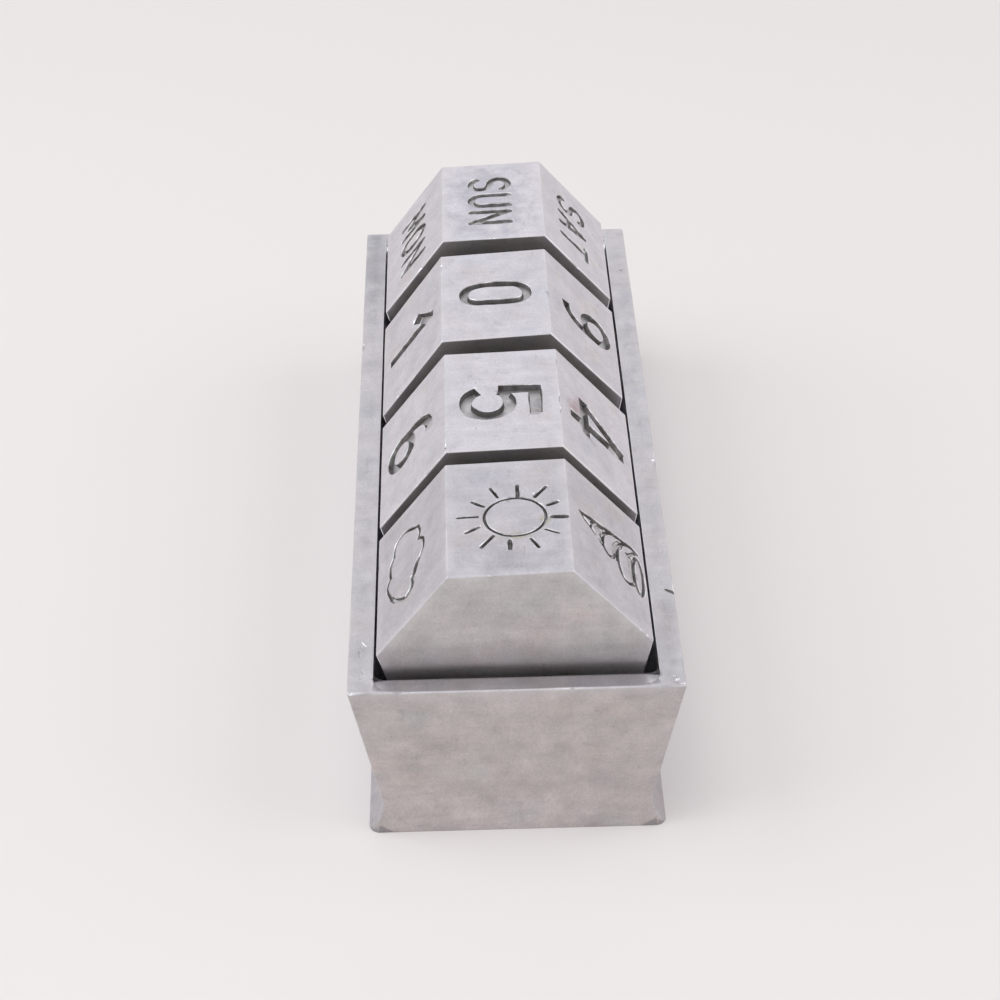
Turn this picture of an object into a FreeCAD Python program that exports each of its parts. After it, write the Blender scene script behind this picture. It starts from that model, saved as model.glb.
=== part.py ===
import FreeCAD, Part
import math
import os

# A perpetual desk calendar: a heavy tray with a half-round trough along its top, and four
# seven-sided blocks that lie end to end in the trough and are turned by hand.
#
# Lengths are in millimetres. X runs along the tray, from the weekday to the weather, as the
# calendar is read. The reader sits at -Y. Z is up, and the origin is under the middle of the tray,
# on the surface that it stands on.

# The blocks
block_sides = 7
block_length = 31.4
block_arris_radius = 0.35
block_clearance = 0.1

# The trough that they lie in
trough_radius = 24.7
trough_axis_below_rim = 1.1
trough_corner_radius = 2.2
long_edge_bevel = 0.1
free_length = 17.8

# The tray around the trough
rim_land = 4.6
end_wall = 4.3
floor_thickness = 8.8

# Its sides: how far the waist lies in from the rim, and how far the foot stands out from the waist
waist_inset = 4.9
waist_height = 7.6
foot_flare = 2.6
foot_edge_height = 0.6

# Its rounded edges
rim_arris_radius = 0.4
side_arris_radius = 0.6
foot_corner_radius = 2.0

# The sloped lead-in on top of each end wall
lead_in_margin = 0.7
lead_in_depth = 0.9
lead_in_corner_radius = 3.0

# How the hand left each block, counted from the weekday end: the gap before it, as a share of the
# trough's free length, and its turn towards the reader, as a share of the turn from face to face
block_names = ("weekday_block", "tens_block", "units_block", "weather_block")
gap_before_shares = (0.135, 0.31, 0.27, 0.2)
lean_shares = (0.047, 0.068, 0.041, 0.043)

# One overrun for every cut, and how far apart two places may lie and still count as the same
overrun = 5.0
match_tolerance = 0.01

# Worked out from the sizes above
block_radius = trough_radius - block_clearance
trough_length = len(block_names) * block_length + free_length
tray_length = trough_length + 2 * end_wall
axis_height = floor_thickness + trough_radius
tray_height = axis_height + trough_axis_below_rim
rim_half_width = trough_radius + rim_land
waist_half_width = rim_half_width - waist_inset
foot_half_width = waist_half_width + foot_flare

x_axis = FreeCAD.Vector(1, 0, 0)
y_axis = FreeCAD.Vector(0, 1, 0)
z_axis = FreeCAD.Vector(0, 0, 1)


def section_point(y, z, x=0):
    """Point of a cross-section, which is drawn across the tray."""
    return FreeCAD.Vector(x, y, z)


def cove_circle():
    """Centre and radius of the cove, which is upright at the waist and ends at the foot."""
    drop = waist_height - foot_edge_height
    radius = (foot_flare ** 2 + drop ** 2) / (2 * foot_flare)
    return waist_half_width + radius, waist_height, radius


def side_meets_cove():
    """Point where the leaning side runs into the cove without a break."""
    centre_y, centre_z, radius = cove_circle()
    across = rim_half_width - centre_y
    up = tray_height - centre_z
    turn = math.atan2(up, across) + math.acos(radius / math.hypot(across, up))
    return centre_y + radius * math.cos(turn), centre_z + radius * math.sin(turn)


def mirrored(points):
    """The same points on the other side of the tray."""
    return [section_point(-point.y, point.z, point.x) for point in points]


def tray_section(x):
    """Outline of the tray across its length: rim, leaning sides, coves and foot."""
    side_y, side_z = side_meets_cove()
    rim = section_point(rim_half_width, tray_height, x)
    side = section_point(side_y, side_z, x)
    waist = section_point(waist_half_width, waist_height, x)
    cove_end = section_point(foot_half_width, foot_edge_height, x)
    foot = section_point(foot_half_width, 0, x)
    left_rim, left_side, left_waist, left_cove_end, left_foot = mirrored([rim, side, waist, cove_end, foot])
    edges = [
        Part.makeLine(foot, cove_end),
        Part.Arc(cove_end, waist, side).toShape(),
        Part.makeLine(side, rim),
        Part.makeLine(rim, left_rim),
        Part.makeLine(left_rim, left_side),
        Part.Arc(left_side, left_waist, left_cove_end).toShape(),
        Part.makeLine(left_cove_end, left_foot),
        Part.makeLine(left_foot, foot),
    ]
    return Part.Face(Part.Wire(edges))


def is_along(edge, direction):
    """Whether a straight edge runs along a direction."""
    if edge.Curve.TypeId != "Part::GeomLine":
        return False
    return edge.tangentAt(edge.FirstParameter).cross(direction).Length < match_tolerance


def is_on_end(edge):
    """Whether a whole edge lies in one of the tray's two end faces."""
    from_end = tray_length / 2 - abs(edge.Vertexes[0].X)
    return edge.BoundBox.XLength < match_tolerance and from_end < match_tolerance


def tray_body():
    """Solid tray before the trough is cut, with rounded foot corners, end arrises and rim."""
    body = tray_section(-tray_length / 2).extrude(x_axis * tray_length)
    foot_corners = [edge for edge in body.Edges if is_along(edge, z_axis)]
    body = body.makeFillet(foot_corner_radius, foot_corners)
    end_arrises = [edge for edge in body.Edges if is_on_end(edge) and not is_along(edge, y_axis)]
    body = body.makeFillet(side_arris_radius, end_arrises)
    rim = [edge for edge in body.Edges if edge.BoundBox.ZMin > tray_height - match_tolerance]
    return body.makeFillet(rim_arris_radius, rim)


def trough_core():
    """Solid that the trough holds when full, from its round bottom to above the rim."""
    start = FreeCAD.Vector(-trough_length / 2, 0, axis_height)
    round_part = Part.makeCylinder(trough_radius, trough_length, start, x_axis)
    corner = FreeCAD.Vector(-trough_length / 2, -trough_radius, axis_height)
    upright = Part.makeBox(trough_length, 2 * trough_radius, trough_axis_below_rim + overrun, corner)
    core = round_part.fuse(upright).removeSplitter()
    ends = [edge for edge in core.Edges if edge.BoundBox.XLength < trough_corner_radius
            and edge.BoundBox.ZMin < tray_height]
    return core.makeFillet(trough_corner_radius, ends)


def lead_in_cutter():
    """Slab that cuts the sloped lead-in of the end wall at +X."""
    reach = end_wall - lead_in_margin
    slab_length = reach + trough_corner_radius + overrun
    slab = Part.makeBox(slab_length, 2 * trough_radius, overrun,
                        FreeCAD.Vector(-slab_length, -trough_radius, 0))
    outer = [edge for edge in slab.Edges if is_along(edge, z_axis) and edge.BoundBox.XMin > -reach]
    slab = slab.makeFillet(lead_in_corner_radius, outer)
    slope = math.degrees(math.atan2(lead_in_depth, reach))
    slab.rotate(FreeCAD.Vector(0, 0, 0), y_axis, -slope)
    slab.translate(FreeCAD.Vector(tray_length / 2 - lead_in_margin, 0, tray_height))
    return slab


def bevel_long_edges(body):
    """Break the trough's two long edges at the rim."""
    edges = [edge for edge in body.Edges if is_along(edge, x_axis)
             and abs(edge.BoundBox.ZMin - tray_height) < long_edge_bevel
             and abs(abs(edge.BoundBox.YMin) - trough_radius) < long_edge_bevel]
    return body.makeChamfer(long_edge_bevel, edges)


def make_tray():
    """The tray, with its trough and lead-ins."""
    near = lead_in_cutter()
    far = near.rotated(FreeCAD.Vector(0, 0, 0), z_axis, 180)
    tray = tray_body().cut([trough_core(), near, far])
    return bevel_long_edges(tray)


def block_section():
    """Many-sided outline about the X axis, with one face level on top."""
    points = []
    for index in range(block_sides):
        turn = 2 * math.pi * (index + 0.5) / block_sides
        points.append(section_point(block_radius * math.sin(turn), block_radius * math.cos(turn)))
    return Part.Face(Part.makePolygon(points + points[:1]))


def make_block(start_x, lean_share):
    """One block with broken arrises, lying in the trough and turned by its lean."""
    block = block_section().extrude(x_axis * block_length)
    block = block.makeFillet(block_arris_radius, block.Edges)
    block.rotate(FreeCAD.Vector(0, 0, 0), x_axis, lean_share * 360 / block_sides)
    block.translate(FreeCAD.Vector(start_x, 0, axis_height))
    return block


def make_blocks():
    """Every block in its place along the trough."""
    blocks = {}
    start_x = -trough_length / 2
    for name, gap_share, lean_share in zip(block_names, gap_before_shares, lean_shares):
        start_x += gap_share * free_length
        blocks[name] = make_block(start_x, lean_share)
        start_x += block_length
    return blocks


def main():
    """Build every piece and write it out."""
    os.makedirs("parts", exist_ok=True)
    pieces = {"tray": make_tray()}
    pieces.update(make_blocks())
    for name, shape in pieces.items():
        shape.exportStep("parts/" + name + ".step")
        print(name, "valid:", shape.isValid(), "volume:", round(shape.Volume, 1))


main()
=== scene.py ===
"""Looks of a perpetual desk calendar: a metal tray with four engraved blocks turned by hand.

Everything is in metres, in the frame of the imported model: X along the tray as the calendar is read,
the reader at -Y, Z up. Signs, marks and finishes are given in millimetres, and turned into metres
where a mesh or a material is made.
"""
import logging
import math
import random
from dataclasses import dataclass, field
from enum import Enum

import bmesh
import bpy
from mathutils import Matrix, Vector, noise


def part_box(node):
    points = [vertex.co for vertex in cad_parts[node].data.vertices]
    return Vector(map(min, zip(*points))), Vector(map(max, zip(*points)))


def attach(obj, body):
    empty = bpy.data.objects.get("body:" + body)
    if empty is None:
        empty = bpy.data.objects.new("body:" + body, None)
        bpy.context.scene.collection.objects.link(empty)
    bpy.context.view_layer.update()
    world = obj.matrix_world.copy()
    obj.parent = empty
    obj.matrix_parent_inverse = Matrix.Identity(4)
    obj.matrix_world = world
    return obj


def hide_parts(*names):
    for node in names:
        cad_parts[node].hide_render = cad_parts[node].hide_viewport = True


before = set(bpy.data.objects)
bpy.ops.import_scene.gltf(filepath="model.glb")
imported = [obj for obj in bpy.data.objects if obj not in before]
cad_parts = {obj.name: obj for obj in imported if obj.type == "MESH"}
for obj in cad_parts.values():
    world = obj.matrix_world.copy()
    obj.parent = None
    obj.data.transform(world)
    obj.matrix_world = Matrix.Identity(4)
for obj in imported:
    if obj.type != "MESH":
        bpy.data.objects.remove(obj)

MM = 0.001
X_AXIS = Vector((1.0, 0.0, 0.0))
Z_AXIS = Vector((0.0, 0.0, 1.0))
FULL_TURN = 360.0
SAME_PLACE = 0.001 * MM
FLAT_WITHIN = math.radians(0.3)
SHARP_FROM = math.radians(28.0)
NOISE_SEED = 7

Point = tuple[float, float]
Triple = tuple[float, float, float]
Colour = tuple[float, float, float, float]
Socket = bpy.types.NodeSocket
Shape = bmesh.types.BMesh

log = logging.getLogger("desk_calendar")


class Ending(Enum):
    """How an open cut ends."""

    SQUARE = "square"
    ROUND = "round"


class Look(Enum):
    """What part of a mark looks like, by its place in the material slots."""

    BARE = 0
    # dark dirt in cuts, and painted shade down the walls of grooves
    DIRTY_AND_SHADED = 1
    # metal bared by chips and dents, and a painted highlight along the top edge of grooves
    BRIGHT = 2


@dataclass(frozen=True)
class Line:
    """Straight stroke from one point to another."""

    start: Point
    end: Point
    closed: bool = False

    def points(self, step: float) -> list[Point]:
        """Points along the stroke, no further apart than a step.

        Args:
            step: how far apart the points may lie, in millimetres.

        Returns:
            The points, in order, with both ends.
        """
        count = max(1, math.ceil(math.dist(self.start, self.end) / step))
        shares = [index / count for index in range(count + 1)]
        return [
            (self.start[0] + (self.end[0] - self.start[0]) * share,
             self.start[1] + (self.end[1] - self.start[1]) * share)
            for share in shares
        ]


@dataclass(frozen=True)
class Oval:
    """Round or oval stroke about a centre, with its angles in degrees, anticlockwise."""

    centre: Point
    radii: Point
    start: float = 0.0
    sweep: float = FULL_TURN

    @property
    def closed(self) -> bool:
        """Whether the stroke goes all the way round."""
        return abs(self.sweep) == FULL_TURN

    def points(self, step: float) -> list[Point]:
        """Points along the stroke, about a step apart.

        Args:
            step: how far apart the points may lie, in millimetres.

        Returns:
            The points, in order, where it is closed with no point twice.
        """
        span = math.radians(abs(self.sweep)) * max(self.radii)
        count = max(6, math.ceil(span / step))
        last = count if self.closed else count + 1
        turns = [math.radians(self.start + self.sweep * index / count) for index in range(last)]
        return [
            (self.centre[0] + self.radii[0] * math.cos(turn), self.centre[1] + self.radii[1] * math.sin(turn))
            for turn in turns
        ]


@dataclass(frozen=True)
class Flow:
    """Free stroke that runs smoothly through its points."""

    through: tuple[Point, ...]
    closed: bool = False

    def points(self, step: float) -> list[Point]:
        """Points along the stroke, about a step apart.

        Args:
            step: how far apart the points may lie, in millimetres.

        Returns:
            The points, in order, where it is closed with no point twice.
        """
        through = self.through
        if self.closed:
            knots = [through[-1], *through, through[0], through[1]]
        else:
            knots = [through[0], *through, through[-1]]
        result: list[Point] = []
        for before, here, there, after in zip(knots, knots[1:], knots[2:], knots[3:]):
            count = max(2, math.ceil(math.dist(here, there) / step))
            for index in range(count):
                result.append(self.between(before, here, there, after, index / count))
        return result if self.closed else result + [through[-1]]

    @staticmethod
    def between(before: Point, here: Point, there: Point, after: Point, share: float) -> Point:
        """Point on the smooth curve between two of the stroke's points.

        Args:
            before: the point before the two.
            here: the first of the two.
            there: the second of the two.
            after: the point after the two.
            share: how far on from the first it lies, from 0 to 1.

        Returns:
            The point.
        """
        values = []
        for p0, p1, p2, p3 in zip(before, here, there, after):
            slope = p2 - p0
            bend = 2 * p0 - 5 * p1 + 4 * p2 - p3
            twist = 3 * p1 - p0 - 3 * p2 + p3
            values.append(p1 + (slope * share + bend * share ** 2 + twist * share ** 3) / 2)
        return values[0], values[1]


@dataclass(frozen=True)
class Chain:
    """Several strokes cut in one go, each starting where the one before ends."""

    parts: tuple[Line | Oval, ...]
    closed: bool = False

    def points(self, step: float) -> list[Point]:
        """Points along the whole chain, with no point twice.

        Args:
            step: how far apart the points may lie, in millimetres.

        Returns:
            The points, in order.
        """
        result: list[Point] = []
        for part in self.parts:
            for point in part.points(step):
                if not result or math.dist(result[-1], point) > step / 5:
                    result.append(point)
        return result


LetterStroke = Line | Oval | Chain
Stroke = LetterStroke | Flow


@dataclass(frozen=True)
class Cut:
    """One stroke cut into the metal, in millimetres.

    Attributes:
        stroke: its centre line.
        width: its width at the surface.
        depth: its depth.
        ending: how it ends, where it is open.
        look: what it looks like inside.
    """

    stroke: Stroke
    width: float
    depth: float
    ending: Ending = Ending.SQUARE
    look: Look = Look.BARE


@dataclass(frozen=True)
class Sign:
    """One engraved figure: its cuts, and how far it stands off the middle of its face."""

    cuts: tuple[Cut, ...]
    shift: Point = (0.0, 0.0)


def digit(*strokes: Stroke, shift: Point = (0.0, 0.0), width: float = 2.3, depth: float = 1.1) -> Sign:
    """A date figure, cut wide and deep with square ends."""
    return Sign(tuple(Cut(stroke, width, depth) for stroke in strokes), shift)


def six(way: float) -> tuple[Stroke, ...]:
    """A six, or where the way is -1 a nine, which is a six turned half round."""
    stem = ((1.3, 5.3), (-0.9, 4.8), (-2.5, 3.4), (-3.3, 1.4), (-3.5, -1.4), (-3.4, -4.2))
    return Oval((0.1 * way, -3.8 * way), (3.5, 3.5)), Flow(tuple((x * way, y * way) for x, y in stem))


DIGITS: dict[str, Sign] = {
    "0": digit(Flow(((0.4, 6.5), (-1.6, 6.0), (-3.0, 4.4), (-3.5, 2.0), (-3.6, -1.0), (-3.2, -3.8), (-2.0, -5.6),
                     (-0.2, -6.2), (1.6, -5.7), (2.7, -4.0), (2.9, -1.2), (3.0, 2.0), (2.8, 4.6), (1.9, 6.0)),
                    closed=True), width=1.75),
    "1": digit(Line((1.2, 7.6), (1.2, -8.0)), Line((1.6, 6.4), (-3.9, 1.4))),
    "2": digit(Chain((Oval((0, 3.1), (3.7, 3.6), 165, -200), Line((3.0, 1.0), (-3.6, -6.4)))),
               Line((-4.6, -6.7), (4.4, -6.7))),
    "3": digit(Oval((0, 3.4), (3.3, 3.3), 155, -245), Oval((0, -3.2), (3.9, 3.5), 90, -250)),
    "4": digit(Line((1.0, 7.9), (-4.8, -3.4)), Line((-5.8, -3.2), (5.0, -3.0)), Line((1.6, 8.0), (1.8, -7.5))),
    "5": digit(Line((-3.8, 6.2), (5.0, 6.2)), Line((-2.8, 7.0), (-3.2, -0.7)),
               Oval((1.0, -2.75), (4.1, 4.15), 146, -300), width=2.4, depth=1.3),
    "6": digit(*six(1.0), width=2.1),
    "7": digit(Line((-4.6, 6.7), (4.9, 6.7)), Line((3.9, 6.9), (-1.6, -7.9))),
    "8": digit(Oval((0, 3.6), (3.1, 3.0)), Oval((0, -3.2), (3.8, 3.6))),
    "9": digit(*six(-1.0), shift=(-0.9, 0.3), width=2.1),
}

def bent(*points: Point) -> tuple[Line, ...]:
    """Straight strokes from each point to the next."""
    return tuple(Line(here, there) for here, there in zip(points, points[1:]))


# Letters, as shares of their own width and height, counted from the lower left
LETTER_SHARES: dict[str, tuple[LetterStroke, ...]] = {
    "A": (*bent((0, 0), (0.5, 1), (1, 0)), Line((0.2, 0.35), (0.8, 0.35))),
    "D": (*bent((0, 0), (0, 1), (0.4, 1)), Oval((0.4, 0.5), (0.6, 0.5), 90, -180), Line((0.4, 0), (0, 0))),
    "E": (*bent((0, 0), (0, 1), (1, 1)), Line((0, 0.52), (0.8, 0.52)), Line((0, 0), (1, 0))),
    "F": (*bent((0, 0), (0, 1), (1, 1)), Line((0, 0.52), (0.8, 0.52))),
    "H": (Line((0, 0), (0, 1)), Line((1, 0), (1, 1)), Line((0, 0.5), (1, 0.5))),
    "I": (Line((0.5, 0), (0.5, 1)),),
    "M": bent((0, 0), (0, 1), (0.5, 0.3), (1, 1), (1, 0)),
    "N": bent((0, 0), (0, 1), (1, 0), (1, 1)),
    "O": (Oval((0.5, 0.5), (0.5, 0.5)),),
    "R": (*bent((0, 0), (0, 1), (0.5, 1)), Oval((0.5, 0.74), (0.5, 0.26), 90, -180),
          Line((0.5, 0.48), (0, 0.48)), Line((0.5, 0.48), (1, 0))),
    "S": (Chain((Oval((0.5, 0.75), (0.5, 0.25), 20, 250), Oval((0.5, 0.25), (0.5, 0.25), 90, -250))),),
    "T": (Line((0, 1), (1, 1)), Line((0.5, 1), (0.5, 0))),
    "U": (Chain((Line((0, 1), (0, 0.3)), Oval((0.5, 0.3), (0.5, 0.3), 180, 180), Line((1, 0.3), (1, 1)))),),
    "W": bent((0, 1), (0.25, 0), (0.5, 0.7), (0.75, 0), (1, 1)),
}


@dataclass(frozen=True)
class Lettering:
    """Sizes of the weekday words, in millimetres, between the centre lines of the cuts."""

    width: float = 4.3
    height: float = 8.0
    pitch: float = 6.9
    cut_width: float = 1.4
    cut_depth: float = 0.7
    below_middle: float = 0.5

    def at(self, point: Point, left: float) -> Point:
        """Real place of a point that is given in shares of a letter."""
        return left + point[0] * self.width, (point[1] - 0.5) * self.height

    def scaled(self, stroke: LetterStroke, left: float) -> LetterStroke:
        """One stroke of a letter at its real size.

        Args:
            stroke: the stroke, as shares of the letter's width and height.
            left: the letter's left edge.

        Returns:
            The same stroke in millimetres.
        """
        if isinstance(stroke, Chain):
            return Chain(tuple(self.scaled(part, left) for part in stroke.parts))
        if isinstance(stroke, Line):
            return Line(self.at(stroke.start, left), self.at(stroke.end, left))
        radii = stroke.radii[0] * self.width, stroke.radii[1] * self.height
        return Oval(self.at(stroke.centre, left), radii, stroke.start, stroke.sweep)

    def word(self, text: str) -> Sign:
        """A whole word, centred along its face.

        Args:
            text: its letters.

        Returns:
            The word's cuts.
        """
        cuts: list[Cut] = []
        for index, letter in enumerate(text):
            middle = (index - (len(text) - 1) / 2) * self.pitch
            cuts += [Cut(self.scaled(stroke, middle - self.width / 2), self.cut_width, self.cut_depth, Ending.ROUND)
                     for stroke in LETTER_SHARES[letter]]
        return Sign(tuple(cuts), (0.0, -self.below_middle))


def scratched(stroke: Stroke, width: float = 0.55, depth: float = 0.55) -> Cut:
    """A thin line of a weather sign, with dark dirt left in it that also paints the shade inside the narrow groove."""
    return Cut(stroke, width, depth, Ending.ROUND, Look.DIRTY_AND_SHADED)


def carved(stroke: Stroke, width: float, depth: float) -> Cut:
    """A wider cut of a weather sign, made with a round tool."""
    return Cut(stroke, width, depth, Ending.ROUND)


def ring_of(count: int, turned: float) -> list[float]:
    """Directions, in radians, evenly round a full turn."""
    return [math.radians(turned + FULL_TURN / count * index) for index in range(count)]


def towards(turn: float, reach: float) -> Point:
    """Point at a distance from the middle, in a direction given in radians."""
    return reach * math.cos(turn), reach * math.sin(turn)


def cloud(cusps: tuple[Point, ...], swell: float) -> tuple[Cut, ...]:
    """Outline of a cloud: bumps through its cusps, which are given clockwise.

    Args:
        cusps: the points between the bumps.
        swell: how far a bump swells, as a share of its span.

    Returns:
        One cut for each bump.
    """
    cuts = []
    shoulder = 0.72 * swell
    for start, end in zip(cusps, cusps[1:] + cusps[:1]):
        along = end[0] - start[0], end[1] - start[1]
        points = [start]
        for share, out in ((0.2, shoulder), (0.5, swell), (0.8, shoulder)):
            points.append((start[0] + along[0] * share - along[1] * out, start[1] + along[1] * share + along[0] * out))
        cuts.append(scratched(Flow((*points, end)), 0.7, 0.6))
    return tuple(cuts)


# The sun's rays, cut by eye: inner end, outer end and width
SUN_RAYS = (
    ((0.8, 7.6), (0.9, 10.2), 0.9), ((4.1, 6.4), (5.3, 8.6), 0.45), ((6.4, 3.8), (8.8, 5.1), 0.55),
    ((6.6, 0.2), (8.8, 0.2), 0.75), ((5.2, -2.6), (8.1, -4.7), 0.7), ((2.6, -5.0), (4.0, -7.3), 0.6),
    ((-0.25, -5.2), (-0.2, -8.7), 0.5), ((-3.0, -4.1), (-4.4, -6.1), 0.6), ((-5.4, -1.6), (-8.0, -2.8), 0.5),
    ((-5.3, 1.9), (-8.4, 1.9), 0.6), ((-5.0, 4.9), (-7.7, 7.0), 0.65), ((-2.5, 7.1), (-3.3, 8.8), 0.65),
)

CLOUD_OUTLINE = (
    scratched(Flow(((-7.2, 2.0), (-6.0, 2.4), (-4.6, 2.5), (-3.5, 2.1))), 0.6),
    scratched(Flow(((-3.6, 1.9), (-2.5, 3.3), (-0.9, 3.7), (0.8, 3.4), (2.2, 2.3))), 0.6),
    carved(Flow(((2.4, 2.0), (3.6, 1.2), (4.9, 0.7))), 1.3, 0.8),
    carved(Flow(((5.2, 0.2), (6.4, 0.4), (7.9, 0.0), (8.7, -1.4))), 1.0, 0.5),
    carved(Flow(((8.6, -2.4), (7.6, -3.8), (6.4, -5.2), (5.2, -6.0))), 1.0, 0.6),
    scratched(Flow(((5.4, -6.2), (3.8, -6.7), (2.6, -7.3), (1.3, -7.6), (0.0, -7.2), (-0.8, -6.6))), 0.7),
    scratched(Flow(((-0.7, -6.6), (-2.0, -6.8), (-3.5, -6.8), (-4.7, -6.4), (-5.6, -5.6))), 0.65),
    scratched(Flow(((-5.5, -5.5), (-6.8, -5.5), (-8.2, -5.2), (-9.2, -4.0), (-9.3, -2.4), (-8.6, -0.6), (-7.7, 0.9),
                    (-7.2, 2.0))), 0.65),
)

WHIRLWIND = (
    carved(Oval((0.6, 8.5), (4.9, 1.3)), 0.8, 0.7),
    carved(Flow(((-6.2, 6.5), (-5.2, 4.8), (-3.4, 3.4), (-0.5, 2.8), (2.2, 3.0), (4.6, 3.8), (5.1, 5.2), (4.2, 6.8))),
           0.8, 0.8),
    carved(Flow(((-5.5, 2.4), (-4.5, 0.4), (-3.0, -0.8), (-0.8, -1.2), (1.2, -0.9), (2.0, 0.3), (1.2, 1.5),
                 (-0.3, 2.3))), 0.7, 0.8),
    carved(Flow(((-5.9, 8.8), (-6.2, 6.8), (-5.8, 4.6), (-5.2, 1.6), (-4.7, -1.2), (-4.3, -3.6), (-3.8, -5.6),
                 (-3.5, -7.2))), 0.9, 0.9),
    carved(Flow(((0.6, -1.6), (-0.6, -3.2), (-1.6, -4.8), (-2.4, -6.2), (-3.4, -7.2))), 0.65, 0.7),
    carved(Flow(((-4.4, -3.0), (-3.2, -4.2), (-1.6, -4.4))), 0.6, 0.6),
    carved(Flow(((-5.8, 8.6), (-4.8, 7.4), (-3.4, 6.2), (-3.2, 5.4))), 0.7, 0.5),
    carved(Flow(((-4.0, 3.6), (-2.0, 2.3), (0.8, 1.9))), 1.8, 0.35),
    carved(Flow(((-3.8, -1.6), (-2.4, -2.6), (-0.9, -2.2))), 1.9, 0.35),
    carved(Flow(((-2.6, 6.5), (0.2, 6.3), (3.0, 6.8))), 1.2, 0.3),
)

SMALL_CLOUD_CUSPS = ((-7.4, 1.6), (-5.6, 4.4), (-1.2, 6.4), (3.6, 5.6), (7.0, 2.6), (5.2, 0.4), (-5.4, 0.2))
LIGHTNING = bent((1.8, 8.2), (-3.4, -0.6), (0.6, -0.2), (-1.8, -8.4), (4.2, 1.8), (0.4, 1.6), (1.8, 8.2))

WEATHER: dict[str, Sign] = {
    "sun": Sign((scratched(Oval((0.3, 1.3), (5.2, 5.35)), 0.5),
                 *(scratched(Line(inner, outer), width, 0.7) for inner, outer, width in SUN_RAYS))),
    "cloud": Sign(CLOUD_OUTLINE),
    "rain": Sign(cloud(SMALL_CLOUD_CUSPS, 0.2)
                 + tuple(scratched(Line((x, -1.4 - drop), (x - 1.2, -4.6 - drop)), 0.7)
                         for x, drop in ((-4.0, 0.0), (-0.8, 1.6), (2.2, 0.2), (5.2, 1.4)))),
    "lightning": Sign(tuple(scratched(line, 0.8, 0.7) for line in LIGHTNING)),
    "snow": Sign(tuple(scratched(Line(towards(turn + math.pi, 7.6), towards(turn, 7.6)), 0.7, 0.7)
                       for turn in ring_of(6, 30)[:3])
                 + tuple(scratched(Line(towards(turn, 4.6), towards(turn + side, 6.9)), 0.7, 0.65)
                         for turn in ring_of(6, 30) for side in (-0.32, 0.32))),
    "wind": Sign((scratched(Flow(((-9.0, 2.2), (-2.0, 2.6), (3.4, 2.4), (5.4, 4.0), (4.4, 6.2), (2.2, 5.4))), 0.8),
                  scratched(Flow(((-7.4, -1.0), (0.0, -0.6), (7.0, -0.8), (9.2, 0.8), (7.8, 2.6))), 0.8),
                  scratched(Flow(((-8.6, -4.4), (-2.4, -4.0), (2.4, -4.4), (4.2, -6.0), (2.8, -7.6), (1.0, -6.8))),
                            0.8))),
    "whirlwind": Sign(WHIRLWIND),
}


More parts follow.
